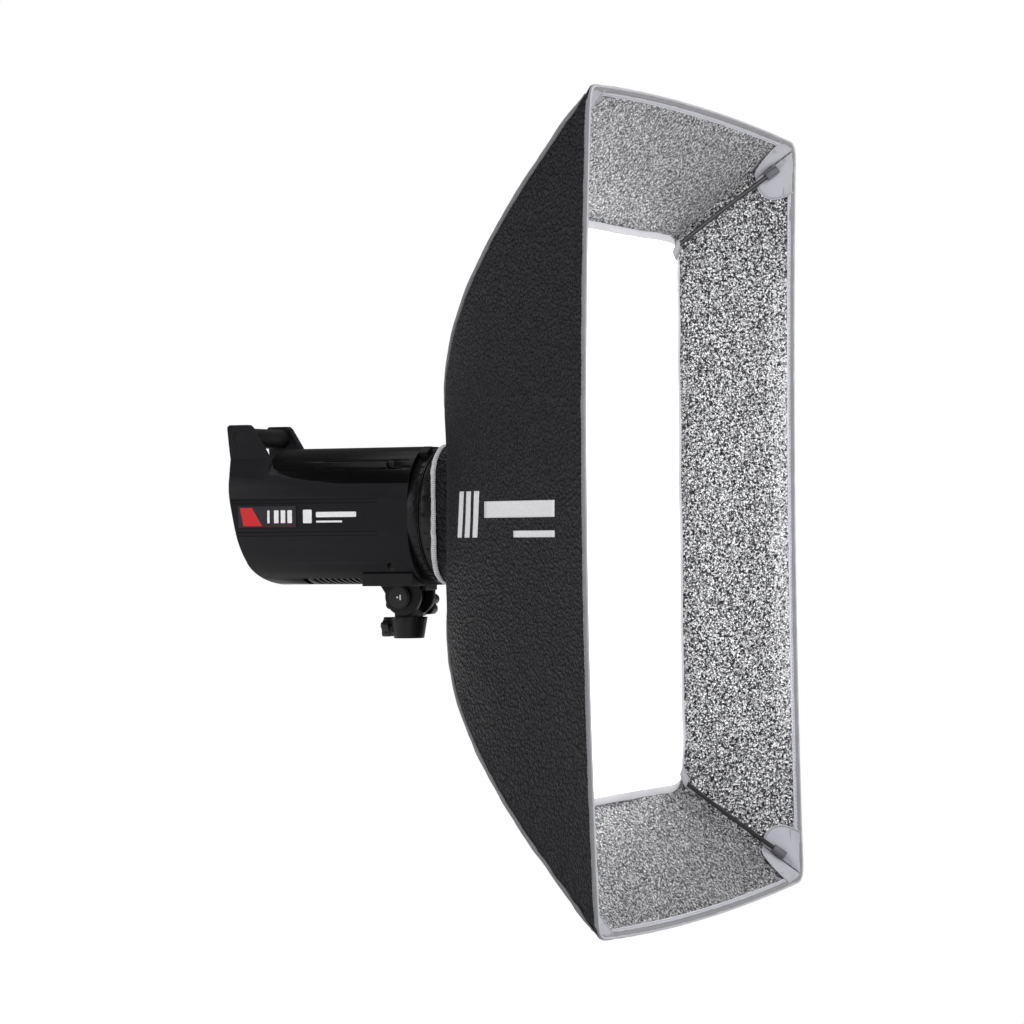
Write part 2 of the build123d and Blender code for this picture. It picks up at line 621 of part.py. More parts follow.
# ---- write every part -----------------------------------------------------------------------
def build():
    rods = {name: rod_solid(*corner) for name, corner in CORNERS.items()}
    parts = fabric_panels()
    parts["front_binding"] = front_binding()
    parts["hook_strip"] = hook_strip()
    parts["corner_pockets"] = corner_pockets()
    parts["rod_tips"] = group([rod_tip(*corner, rods[name]) for name, corner in CORNERS.items()])
    parts["seam_piping"] = seam_piping()
    parts["inner_diffuser"] = inner_diffuser()
    parts["diffuser_straps"] = diffuser_straps()
    parts["rear_collar"] = rear_collar()
    parts["badge_patch"] = badge_patch()
    parts["speedring"] = speedring(rods.values())
    parts["ring_screws"] = ring_screws()
    for name, corner in CORNERS.items():
        parts["rod_" + name] = rods[name]
        parts["rod_latch_" + name] = rod_latch(*corner)
    parts["adapter_ring"] = adapter_ring()
    parts["retaining_ring"] = retaining_ring()
    parts["lock_ring"] = lock_ring()
    parts["side_cover_left"] = side_cover(-1)
    parts["side_cover_right"] = side_cover(1)
    parts["top_cover"] = top_cover()
    parts["bottom_tray"] = bottom_tray()
    parts["rear_panel"] = rear_panel()
    parts["display_window"] = display_window()
    parts["control_dial"] = control_dial()
    for index, x in enumerate(BUTTON_X):
        parts[f"push_button_{index + 1}"] = push_button(x)
    parts["power_switch"] = power_switch()
    parts["mains_inlet"] = mains_inlet()
    parts["sync_sockets"] = sync_sockets()
    parts["handle_bar"] = handle_bar()
    parts["handle_inserts"] = handle_inserts()
    parts["label_plates"] = label_plates()
    parts["casing_screws"] = casing_screws()
    parts["front_flange"] = front_flange()
    parts["reflector_plate"] = reflector_plate()
    parts["flash_tube"] = flash_tube()
    parts["modelling_lamp"] = modelling_lamp()
    parts["glass_dome"] = glass_dome()
    parts["circuit_board"] = circuit_board()
    parts["capacitors"] = capacitors()
    parts["fan_frame"] = fan_frame()
    parts["fan_rotor"] = fan_rotor()
    parts["tilt_fork"] = tilt_fork()
    parts["tilt_axle"] = tilt_axle()
    parts["pivot_cap"] = pivot_cap()
    parts["tilt_lever"] = tilt_lever()
    parts["stand_yoke"] = stand_yoke()
    parts["stand_knob"] = stand_knob()
    return parts


os.makedirs("parts", exist_ok=True)
for node, shape in build().items():
    raised = [Pos(0, 0, AXIS_Z) * solid for solid in shape.solids()]
    export_step(Compound(raised), f"parts/{node}.step")
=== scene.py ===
"""Looks of a rectangular softbox on a studio flash head: cloth, tape, rods, casings, light and camera.

Everything is in metres in the frame of the CAD model: the light leaves along -Y, X is the width of
the opening and +Z is up.
"""
import json
import math

import bmesh
import bpy
import numpy as np
from mathutils import Matrix, Vector, noise


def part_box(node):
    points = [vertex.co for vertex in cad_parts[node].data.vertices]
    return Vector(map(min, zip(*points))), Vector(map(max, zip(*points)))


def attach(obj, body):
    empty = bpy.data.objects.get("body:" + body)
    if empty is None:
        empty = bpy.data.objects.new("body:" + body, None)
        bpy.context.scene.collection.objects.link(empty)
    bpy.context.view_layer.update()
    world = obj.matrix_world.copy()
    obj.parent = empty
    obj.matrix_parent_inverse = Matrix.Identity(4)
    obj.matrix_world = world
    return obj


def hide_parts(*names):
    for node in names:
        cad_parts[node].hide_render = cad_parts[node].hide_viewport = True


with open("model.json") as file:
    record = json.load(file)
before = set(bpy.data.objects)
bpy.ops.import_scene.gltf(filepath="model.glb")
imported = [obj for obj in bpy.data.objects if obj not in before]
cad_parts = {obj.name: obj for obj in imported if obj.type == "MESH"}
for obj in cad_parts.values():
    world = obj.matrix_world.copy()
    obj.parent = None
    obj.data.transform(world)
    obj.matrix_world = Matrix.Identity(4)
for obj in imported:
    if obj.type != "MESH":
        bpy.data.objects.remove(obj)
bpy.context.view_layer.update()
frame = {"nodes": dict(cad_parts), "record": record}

NODES = frame["nodes"]

# ---- sizes taken from the frame ---------------------------------------------------------------
binding_low, binding_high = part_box("front_binding")
collar_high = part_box("rear_collar")[1]
diffuser_low, diffuser_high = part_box("inner_diffuser")
label_low, label_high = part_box("label_plates")
cover_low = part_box("side_cover_left")[0]
HALF_W = binding_high.x
HALF_H = (binding_high.z - binding_low.z) / 2
AXIS_Z = (binding_high.z + binding_low.z) / 2
FRONT_Y = binding_low.y
ROOT_R = collar_high.x - 0.0022
ROOT_Y = -0.083         # where the cloth turns outwards from its sleeve round the speedring

# ---- cloth sizes ------------------------------------------------------------------------------
TIP_ANGLE = math.radians(46.4)
ROOT_ANGLE = math.radians(89)
ROD_CURVE = 2.7
FRONT_CORNER = 0.012
ROOT_CORNER = 0.032     # the cloth's section at the speedring is a rounded square
CLOTH = 0.0008          # outer cloth
LINING_INSET = 0.0024   # lining below the outer face
LINING = 0.0004
BOW_BACK = 0.007        # the open edge bows back between the rod tips
BOW_SIDES = 0.005       # the open edge bows outwards, least on the tall sides
BOW_ENDS = 0.011
SAG = 0.002             # a panel sinks between its two rods
RIM_R = 0.0668          # the cloth is drawn in to the speedring's rim
COLLAR_WIDTH = 0.0052   # the light raw edge that shows
HEM_STEP = 0.006        # between points round the open edge
ROOT_STEP = 0.003       # and round the speedring
SIDES = ("left", "right", "top", "bottom")


# ---- curve of the rods and section of the box ---------------------------------------------------
def rod_shares():
    """Shares of the spread and of the depth along a strip that is clamped at its root."""
    count = 400  # steps along the strip
    t = (np.arange(count) + 0.5) / count
    angle = TIP_ANGLE + (ROOT_ANGLE - TIP_ANGLE) * (1 - t) ** ROD_CURVE
    spread = np.concatenate([[0], np.cumsum(np.sin(angle))])
    depth = np.concatenate([[0], np.cumsum(np.cos(angle))])
    return np.linspace(0, 1, count + 1), spread / spread[-1], depth / depth[-1]


ROD_T, ROD_SPREAD, ROD_DEPTH = rod_shares()
SEAM_REACH = math.hypot(HALF_W - ROOT_R, HALF_H - ROOT_R)
ROD_LENGTH = SEAM_REACH / np.mean(np.sin(TIP_ANGLE + (ROOT_ANGLE - TIP_ANGLE) * (1 - ROD_T) ** ROD_CURVE))
SEAM_TURN = math.radians(40.7)  # the seam's place on a rounded corner, turned from the tall walls


def depth_to_t(y):
    """Where along the rod the cloth is at a given Y."""
    return np.interp((np.asarray(y, float) - ROOT_Y) / (FRONT_Y - ROOT_Y), ROD_DEPTH, ROD_T)


def wall(side, t, f):
    """Base surface of one panel: t from the ring to the open edge, f across from seam to seam."""
    t, f = np.broadcast_arrays(np.asarray(t, float), np.asarray(f, float))
    spread = np.interp(t, ROD_T, ROD_SPREAD)
    y = ROOT_Y + (FRONT_Y - ROOT_Y) * np.interp(t, ROD_T, ROD_DEPTH)
    half_w = ROOT_R + (HALF_W - ROOT_R) * spread
    half_h = ROOT_R + (HALF_H - ROOT_R) * spread
    corner = FRONT_CORNER + (ROOT_CORNER - FRONT_CORNER) * (1 - spread) ** 3
    upright = side in ("left", "right")
    out_half, along_half = (half_w, half_h) if upright else (half_h, half_w)
    turn = SEAM_TURN if upright else math.pi / 2 - SEAM_TURN
    straight = along_half - corner
    total = 2 * (straight + corner * turn)
    a = (f - 0.5) * total
    angle = np.clip((np.abs(a) - straight) / corner, 0, turn)
    along = np.sign(a) * (np.minimum(np.abs(a), straight) + corner * np.sin(angle))
    out = out_half - corner * (1 - np.cos(angle))
    middle = 1 - (2 * f - 1) ** 2
    free = np.clip((t - 0.7) / 0.3, 0, 1) ** 2
    bow = BOW_SIDES if upright else BOW_ENDS
    out = out + bow * middle * free - SAG * middle * np.sin(math.pi * np.clip(t, 0, 1)) ** 2
    y = y + BOW_BACK * middle * free
    sign = 1 if side in ("right", "top") else -1
    if upright:
        return np.stack([sign * out, y, AXIS_Z + along], axis=-1)
    return np.stack([along, y, AXIS_Z + sign * out], axis=-1)


def wall_normal(side, t, f):
    step = 1e-3
    t = np.clip(np.asarray(t, float), 2 * step, 1 - step)
    f = np.clip(np.asarray(f, float), step, 1 - step)
    along = wall(side, t + step, f) - wall(side, t - step, f)
    across = wall(side, t, f + step) - wall(side, t, f - step)
    normal = np.cross(along, across)
    normal /= np.maximum(np.linalg.norm(normal, axis=-1, keepdims=True), 1e-12)
    outward = wall(side, t, f) - np.array([0.0, FRONT_Y, AXIS_Z])
    flip = np.sign((normal * outward).sum(-1, keepdims=True))
    return normal * np.where(flip == 0, 1, flip)


def skin(side, t, f, lift=0.0):
    """A point on a panel, raised along its normal by lift."""
    return wall(side, t, f) + wall_normal(side, t, f) * np.asarray(lift)[..., None]


def panel_width(side, t):
    points = wall(side, np.full(60, t), np.linspace(0, 1, 60))
    return float(np.linalg.norm(np.diff(points, axis=0), axis=1).sum())


# ---- mesh helpers -------------------------------------------------------------------------------
def add_mesh(name, vertices, faces, smooth=True):
    mesh = bpy.data.meshes.new(name)
    mesh.from_pydata([tuple(map(float, v)) for v in vertices], [], faces)
    mesh.validate()
    mesh.update()
    editable = bmesh.new()
    editable.from_mesh(mesh)
    bmesh.ops.recalc_face_normals(editable, faces=editable.faces)
    editable.to_mesh(mesh)
    editable.free()
    if smooth:
        mesh.polygons.foreach_set("use_smooth", [True] * len(mesh.polygons))
    piece = bpy.data.objects.new(name, mesh)
    bpy.context.scene.collection.objects.link(piece)
    return piece


def grid_faces(rows, columns, wrap_rows=False, wrap_columns=False, start=0):
    faces = []
    for i in range(rows if wrap_rows else rows - 1):
        for j in range(columns if wrap_columns else columns - 1):
            i2, j2 = (i + 1) % rows, (j + 1) % columns
            faces.append((start + i * columns + j, start + i2 * columns + j,
                          start + i2 * columns + j2, start + i * columns + j2))
    return faces


def grid_piece(name, points, thickness=0.0, **wrap):
    """A sheet through a grid of points, half its thickness on either side of them."""
    rows, columns = points.shape[:2]
    piece = add_mesh(name, points.reshape(-1, 3), grid_faces(rows, columns, **wrap))
    if thickness:
        shell = piece.modifiers.new("thickness", "SOLIDIFY")
        shell.thickness = thickness
        shell.offset = 0
    return piece


def directions(points, closed):
    if closed:
        tangent = np.roll(points, -1, axis=0) - np.roll(points, 1, axis=0)
    else:
        tangent = np.gradient(points, axis=0)
    return tangent / np.maximum(np.linalg.norm(tangent, axis=1, keepdims=True), 1e-12)


def sweep(name, path, side_axis, profile, closed=False):
    """Sweeps a closed profile of (along side_axis, along the third axis) pairs down a path."""
    tangent = directions(path, closed)
    side_axis = side_axis - tangent * (side_axis * tangent).sum(1, keepdims=True)
    side_axis /= np.linalg.norm(side_axis, axis=1, keepdims=True)
    third = np.cross(tangent, side_axis)
    profile = np.asarray(profile, float)
    if profile.ndim == 2:
        profile = np.broadcast_to(profile, (len(path),) + profile.shape)
    rings = (path[:, None] + side_axis[:, None] * profile[..., :1] + third[:, None] * profile[..., 1:])
    count = profile.shape[1]
    faces = grid_faces(len(path), count, wrap_rows=closed, wrap_columns=True)
    if not closed:
        faces.append(tuple(range(count)))
        faces.append(tuple(range((len(path) - 1) * count, len(path) * count)))
    return add_mesh(name, rings.reshape(-1, 3), faces)


def round_profile(radius, count=10):
    turn = np.linspace(0, 2 * math.pi, count, endpoint=False)
    return np.stack([np.cos(turn), np.sin(turn)], axis=1) * radius


def even(points, step, closed=False):
    """The same line with points about step apart."""
    if closed:
        points = np.vstack([points, points[:1]])
    run = np.concatenate([[0], np.cumsum(np.linalg.norm(np.diff(points, axis=0), axis=1))])
    count = max(int(round(run[-1] / step)), 3)
    at = np.linspace(0, run[-1], count, endpoint=not closed)
    return np.stack([np.interp(at, run, points[:, k]) for k in range(3)], axis=1)


def ripple(points, scale, seed=0.0):
    """Smooth noise from -1 to 1 at each point, with features about scale metres apart."""
    flat = points.reshape(-1, 3)
    values = [noise.noise(Vector(p / scale) + Vector((seed, 2 * seed, -seed))) for p in flat]
    return np.array(values).reshape(points.shape[:-1])


def stitches(name, path, side_axis):
    """A row of short thread stitches along a path."""
    length, gap, radius = 0.0028, 0.0018, 0.00035
    dots = even(path, length + gap)
    axis = np.stack([np.interp(np.linspace(0, 1, len(dots)), np.linspace(0, 1, len(path)), side_axis[:, k])
                     for k in range(3)], axis=1)
    tangent = directions(dots, False)
    third = np.cross(tangent, axis)
    vertices, faces = [], []
    for centre, along, up, across in zip(dots, tangent, axis, third):
        base = len(vertices)
        for share, swell in ((-0.5, 0.25), (-0.28, 1.0), (0.28, 1.0), (0.5, 0.25)):
            for turn in range(6):
                angle = turn * math.pi / 3
                offset = up * math.cos(angle) * 0.8 + across * math.sin(angle)
                vertices.append(centre + along * length * share + offset * radius * swell)
        faces += grid_faces(4, 6, wrap_columns=True, start=base)
        faces += [tuple(range(base, base + 6)), tuple(range(base + 18, base + 24))]
    return add_mesh(name, vertices, faces)


def join_pieces(name, pieces):
    vertices, faces = [], []
    for piece in pieces:
        base = len(vertices)
        vertices += [tuple(v.co) for v in piece.data.vertices]
        faces += [tuple(base + i for i in p.vertices) for p in piece.data.polygons]
        bpy.data.objects.remove(piece)
    return add_mesh(name, vertices, faces)


def finish_piece(piece, material, body, slot, *nodes):
    piece.data.materials.clear()
    piece.data.materials.append(material)
    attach(piece, body)
    if nodes:
        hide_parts(*nodes)


# ---- materials ----------------------------------------------------------------------------------
class Shader:
    """A principled material with short helpers for its procedural detail."""

    def __init__(self, name, color, roughness=0.5, **sockets):
        self.material = bpy.data.materials.new(name)
        self.material.use_nodes = True
        self.nodes = self.material.node_tree.nodes
        self.links = self.material.node_tree.links
        self.surface = self.nodes["Principled BSDF"]
        self.surface.inputs["Base Color"].default_value = (*color, 1)
        self.surface.inputs["Roughness"].default_value = roughness
        for socket, value in sockets.items():
            self.surface.inputs[socket.replace("_", " ")].default_value = value
        self.place = self.nodes.new("ShaderNodeTexCoord").outputs["Object"]
        self.normal = None

    def noise(self, scale, detail=3.0, roughness=0.5, distortion=0.0):
        node = self.nodes.new("ShaderNodeTexNoise")
        node.inputs["Distortion"].default_value = distortion
        node.inputs["Scale"].default_value = scale
        node.inputs["Detail"].default_value = detail
        node.inputs["Roughness"].default_value = roughness
        self.links.new(self.place, node.inputs["Vector"])
        return node.outputs["Fac"]

    def cells(self, scale, feature, smooth=None):
        node = self.nodes.new("ShaderNodeTexVoronoi")
        node.feature = feature
        node.inputs["Scale"].default_value = scale
        if smooth is not None:
            node.inputs["Smoothness"].default_value = smooth
        self.links.new(self.place, node.inputs["Vector"])
        return node.outputs["Distance"]

    def weave(self, per_metre):
        """Crossed threads, from waves along the three axes."""
        threads = []
        for axis in ("X", "Y", "Z"):
            node = self.nodes.new("ShaderNodeTexWave")
            node.bands_direction = axis
            node.inputs["Scale"].default_value = per_metre / (2 * math.pi) * 2
            node.inputs["Distortion"].default_value = 0.6
            node.inputs["Detail"].default_value = 1.0
            self.links.new(self.place, node.inputs["Vector"])
            threads.append(node.outputs["Fac"])
        return self.math("MULTIPLY", self.math("ADD", threads[0], threads[1]), threads[2])

    def painted_edge_highlight(self):
        """Painted highlight: rises to 0.1 beside the open edge, halfway up the tall walls, where the lining
        is coloured brighter as if lit there.
        """
        split = self.nodes.new("ShaderNodeSeparateXYZ")
        self.links.new(self.place, split.inputs["Vector"])
        depth = self.math("SUBTRACT", FRONT_Y + 0.030, split.outputs["Y"])
        near = self.math("MAXIMUM", self.math("MINIMUM", self.math("MULTIPLY", depth, 1 / 0.022), 1.0), 0.0)
        height = self.math("MULTIPLY", self.math("SUBTRACT", split.outputs["Z"], AXIS_Z), 1 / 0.30)
        middle = self.math("MAXIMUM", self.math("SUBTRACT", 1.0, self.math("MULTIPLY", height, height)), 0.0)
        return self.math("MULTIPLY", self.math("MULTIPLY", near, middle), 0.10)

    def math(self, operation, a, b):
        node = self.nodes.new("ShaderNodeMath")
        node.operation = operation
        for socket, value in zip(node.inputs, (a, b)):
            if isinstance(value, (int, float)):
                socket.default_value = value
            else:
                self.links.new(value, socket)
        return node.outputs[0]

    def ramp(self, factor, *stops):
        node = self.nodes.new("ShaderNodeValToRGB")
        while len(node.color_ramp.elements) < len(stops):
            node.color_ramp.elements.new(0.5)
        for element, (position, color) in zip(node.color_ramp.elements, stops):
            element.position = position
            element.color = (*color, 1)
        self.links.new(factor, node.inputs["Fac"])
        return node.outputs["Color"]

    def color(self, factor, *stops):
        self.links.new(self.ramp(factor, *stops), self.surface.inputs["Base Color"])

    def rough(self, factor, low, high):
        node = self.nodes.new("ShaderNodeMapRange")
        node.inputs["To Min"].default_value = low
        node.inputs["To Max"].default_value = high
        self.links.new(factor, node.inputs["Value"])
        self.links.new(node.outputs["Result"], self.surface.inputs["Roughness"])

    def bump(self, height, distance, strength=1.0):
        node = self.nodes.new("ShaderNodeBump")
        node.inputs["Strength"].default_value = strength
        node.inputs["Distance"].default_value = distance
        self.links.new(height, node.inputs["Height"])
        if self.normal is not None:
            self.links.new(self.normal, node.inputs["Normal"])
        self.normal = node.outputs["Normal"]
        self.links.new(self.normal, self.surface.inputs["Normal"])


def grey(value, tint=0.0):
    return (value, value, value * (1 + tint))


def black_nylon():
    """Pebbled coated nylon: small raised grains with a dull shine."""
    s = Shader("black_nylon", grey(0.01, 0.3), 0.5, Specular_IOR_Level=0.24)
    grain = s.cells(300, "SMOOTH_F1", 0.5)
    patches = s.noise(260, 3, 0.6)
    s.color(s.math("MULTIPLY", grain, patches), (0.06, (0.024, 0.023, 0.036)), (0.20, (0.001, 0.001, 0.003)))
    s.rough(patches, 0.32, 0.6)
    s.bump(s.noise(24, 3), 0.0014, 0.5)
    s.bump(grain, 0.0022, 1.0)
    s.bump(s.noise(1200, 2), 0.0003, 0.5)
    return s.material


def silver_lining():
    """Crinkled metallised lining: bright facets, with painted shade colouring the creases between them near
    black.
    """
    s = Shader("silver_lining", (0.80, 0.80, 0.81), 0.3, Metallic=0.9)
    cells = s.cells(380, "F1")
    creases = s.noise(440, 2.2, 0.6, distortion=1.3)
    # painted shade: the colour runs from bright silver on the facets to near black in the creases and between
    # the cells
    painted_crease_shade = s.math("ADD", creases, s.math("MULTIPLY", s.math("SUBTRACT", 0.52, cells), 0.24))
    fine = s.noise(1300, 2, 0.6)
    # painted highlight: the lining is coloured brighter beside the open edge, halfway up the tall walls
    s.color(s.math("ADD", painted_crease_shade, s.painted_edge_highlight()),
            (0.445, (0.025, 0.025, 0.03)), (0.52, (0.33, 0.33, 0.34)), (0.60, (0.99, 0.99, 1.0)))
    s.rough(fine, 0.24, 0.5)
    s.bump(s.noise(35, 3), 0.0015, 0.5)
    s.bump(cells, 0.0030, 1.0)
    s.bump(creases, 0.0012, 0.8)
    return s.material


def glowing_cloth():
    """Thin white cloth with a painted glow, as if lit from behind."""
    s = Shader("diffuser_cloth", grey(0.9), 0.8, Sheen_Weight=0.2)
    threads = s.noise(700, 2)
    s.color(threads, (0.3, grey(0.86)), (0.7, grey(0.95)))
    s.bump(threads, 0.0003, 0.5)
    # painted glow: this emission stands in for light shining through the cloth; there is no lamp behind it
    s.surface.inputs["Emission Color"].default_value = (1, 1, 1, 1)
    s.surface.inputs["Emission Strength"].default_value = 2.1
    return s.material


def plain_cloth(name, light, dark, per_metre=900, roughness=0.75, tint=0.06):
    """Woven cloth or tape."""
    s = Shader(name, grey(light, tint), roughness, Sheen_Weight=0.25)
    threads = s.weave(per_metre)
    blotch = s.noise(60, 4, 0.6)
    s.color(s.math("ADD", s.math("MULTIPLY", threads, 0.5), s.math("MULTIPLY", blotch, 0.5)),
            (0.2, grey(dark, tint)), (0.75, grey(light, tint)))
    s.rough(blotch, roughness - 0.12, roughness + 0.1)
    s.bump(threads, 0.0004, 0.7)
    s.bump(s.noise(220, 3), 0.0004, 0.35)
    return s.material


def moulded(name, value, roughness, grain=1800, tint=0.05, depth=0.00012, **sockets):
    """Moulded plastic with a fine spark-eroded grain, handling marks and slight colour change."""
    s = Shader(name, grey(value, tint), roughness, **sockets)
    marks = s.noise(22, 5, 0.62)
    s.color(marks, (0.25, grey(value * 0.82, tint)), (0.75, grey(value * 1.2, tint)))
    s.rough(s.noise(45, 5, 0.7), max(roughness - 0.1, 0.03), roughness + 0.12)
    s.bump(s.noise(grain, 2, 0.7), depth, 0.6)
    return s.material


def metal(name, value, roughness):
    """Turned or plated metal with fine tool marks."""
    s = Shader(name, grey(value, 0.02), roughness, Metallic=1.0)
    lines = s.noise(900, 3, 0.6)
    s.color(s.noise(60, 4), (0.3, grey(value * 0.85, 0.02)), (0.7, grey(value * 1.12, 0.02)))
    s.rough(lines, roughness - 0.08, roughness + 0.14)
    s.bump(lines, 0.00006, 0.5)
    return s.material


def glass(name, color, roughness=0.05, frost=0.0):
    s = Shader(name, color, roughness, Transmission_Weight=0.92, IOR=1.46)
    s.rough(s.noise(300, 3), roughness, roughness + 0.06 + frost)
    s.bump(s.noise(900, 2), 0.0001, 0.3 + frost)
    return s.material


def printed(name, color):
    """Ink on cloth or film, slightly uneven."""
    s = Shader(name, color, 0.55)
    s.color(s.noise(500, 4, 0.7), (0.3, tuple(c * 0.86 for c in color)), (0.6, color))
    s.bump(s.noise(330, 3), 0.0003, 0.4)
    return s.material


MATERIALS = {
    "black_nylon": black_nylon(),
    "silver_lining": silver_lining(),
    "diffuser_cloth": glowing_cloth(),
    "grey_binding": plain_cloth("grey_binding", 0.30, 0.19),
    "light_cord": plain_cloth("light_cord", 0.62, 0.45, 1200, tint=0.1),
    "piping_cloth": plain_cloth("piping_cloth", 0.26, 0.15, 1000),
    "hook_tape": plain_cloth("hook_tape", 0.72, 0.55, 1500, 0.5, 0.1),
    "pocket_cloth": plain_cloth("pocket_cloth", 0.50, 0.42, 1100, 0.5, 0.1),
    "strap_web": plain_cloth("strap_web", 0.55, 0.38, 700),
    "collar_cloth": plain_cloth("collar_cloth", 0.80, 0.50, 500),
    "hem_cloth": plain_cloth("hem_cloth", 0.85, 0.76, 1000),
    "thread": plain_cloth("thread", 0.42, 0.30, 2500),
    "printed_mark": printed("printed_mark", (0.86, 0.86, 0.88)),
    "red_ink": printed("red_ink", (0.62, 0.012, 0.016)),
    "black_aluminium": moulded("black_aluminium", 0.006, 0.34, 2600, 0.05, 0.00006, Specular_IOR_Level=0.3),
    "screw_steel": metal("screw_steel", 0.045, 0.4),
    "rod_steel": moulded("rod_steel", 0.012, 0.3, 1400),
    "latch_steel": metal("latch_steel", 0.5, 0.25),
    "rod_cap_plastic": moulded("rod_cap_plastic", 0.10, 0.5, tint=0.15),
    "lock_ring_plastic": moulded("lock_ring_plastic", 0.004, 0.34, Specular_IOR_Level=0.25),
    "side_casing": moulded("side_casing", 0.0056, 0.5, 1500, 0.35, 0.00022, Specular_IOR_Level=0.22),
    # painted shade: the top casing is coloured darker and duller than the side casing, to stand in for shade
    # on the head's top
    "top_casing": moulded("top_casing", 0.0016, 0.34, 1800, 0.3, 0.00004, Specular_IOR_Level=0.09),
    "panel_plastic": moulded("panel_plastic", 0.012, 0.45),
    "display_glass": moulded("display_glass", 0.01, 0.08, 2500, 0.3, 0.00001, Coat_Weight=0.6),
    "knob_plastic": moulded("knob_plastic", 0.010, 0.4),
    "button_plastic": moulded("button_plastic", 0.05, 0.55),
    "switch_plastic": moulded("switch_plastic", 0.02, 0.3),
    "socket_metal": metal("socket_metal", 0.55, 0.2),
    "handle_rubber": moulded("handle_rubber", 0.005, 0.55, 1200, 0.05, 0.0003, Specular_IOR_Level=0.25),
    "label_film": moulded("label_film", 0.020, 0.3, 2500, 0.3, 0.00003),
    "flange_metal": metal("flange_metal", 0.6, 0.3),
    "white_ceramic": moulded("white_ceramic", 0.8, 0.5),
    "tube_glass": glass("tube_glass", (0.95, 0.95, 0.98)),
    "lamp_glass": glass("lamp_glass", (0.96, 0.94, 0.88), 0.2, 0.1),
    "frosted_glass": glass("frosted_glass", (0.96, 0.96, 0.96), 0.25, 0.15),
    "board": moulded("board", 0.05, 0.4),
    "capacitor_sleeve": moulded("capacitor_sleeve", 0.03, 0.25, tint=2.0),
    "bracket_casting": moulded("bracket_casting", 0.006, 0.42, 1300, 0.1, 0.00025, Specular_IOR_Level=0.3),
}


# ---- cloth of the softbox -----------------------------------------------------------------------
def cloth_grid(side, seed, lift=0.0, pucker=0.0010):
    """Grid on one panel with tension ripples, broad unevenness and puckers beside the seams."""
    across = np.linspace(0, 1, 84)
    across = 0.7 * (1 - np.cos(math.pi * across)) / 2 + 0.3 * across
    t, f = np.meshgrid(np.linspace(0.004, 0.998, 110), across, indexing="ij")
    base = wall(side, t, f)
    width = np.array([panel_width(side, value) for value in t[:, 0]])[:, None]
    edge = np.minimum(f, 1 - f) * width
    end = (1 - f > f) * 1.0
    run = t * ROD_LENGTH
    wobble = ripple(base, 0.05, seed + 3.1)
    gather = np.sin(2 * math.pi * run / 0.031 + 2.5 * wobble + 1.7 * end)
    strength = pucker * (0.35 + 1.5 * np.clip((t - 0.62) / 0.38, 0, 1) ** 2)
    shape = strength * gather * np.exp(-edge / 0.016) * np.clip(edge / 0.004, 0.25, 1)
    shape += 0.0011 * ripple(base, 0.11, seed) + 0.0005 * ripple(base, 0.035, seed + 9.0)
    fade = np.clip(t / 0.08, 0, 1) * (1 - 0.85 * np.clip((t - 0.974) / 0.013, 0, 1))
    return base + wall_normal(side, t, f) * (lift + shape * fade)[..., None]


def panels():
    """The black outer cloth and the silver lining of each side."""
    for number, side in enumerate(SIDES):
        outer = cloth_grid(side, seed=5.0 * number)
        inner = cloth_grid(side, lift=-LINING_INSET, seed=5.0 * number, pucker=0.0007)
        cloth = grid_piece("outer_cloth_" + side, outer, CLOTH)
        finish_piece(cloth, MATERIALS["black_nylon"], "softbox", "black_nylon", "fabric_panel_" + side)
        lining = grid_piece("lining_" + side, inner, LINING)
        finish_piece(lining, MATERIALS["silver_lining"], "softbox", "silver_lining", "fabric_panel_" + side)


def open_edge():
    """Closed line round the opening on the cloth's edge, with its outward direction."""
    lines, axes = [], []
    t = np.ones(160)
    for side, backwards in (("right", False), ("top", True), ("left", True), ("bottom", False)):
        f = np.linspace(0.0, 1.0, 160)
        f = 0.8 * (1 - np.cos(math.pi * f)) / 2 + 0.2 * f
        f = f[::-1] if backwards else f
        lines.append(wall(side, t, f)[:-1])
        axes.append(wall_normal(side, t, f)[:-1])
    line, axis = np.vstack(lines), np.vstack(axes)
    path = even(line, HEM_STEP, closed=True)
    nearest = np.argmin(np.linalg.norm(path[:, None] - line[None], axis=2), axis=1)
    return path, axis[nearest]


def softened(values, rounds=3):
    for _ in range(rounds):
        values = (np.roll(values, 1, axis=0) + values + np.roll(values, -1, axis=0)) / 3
    return values


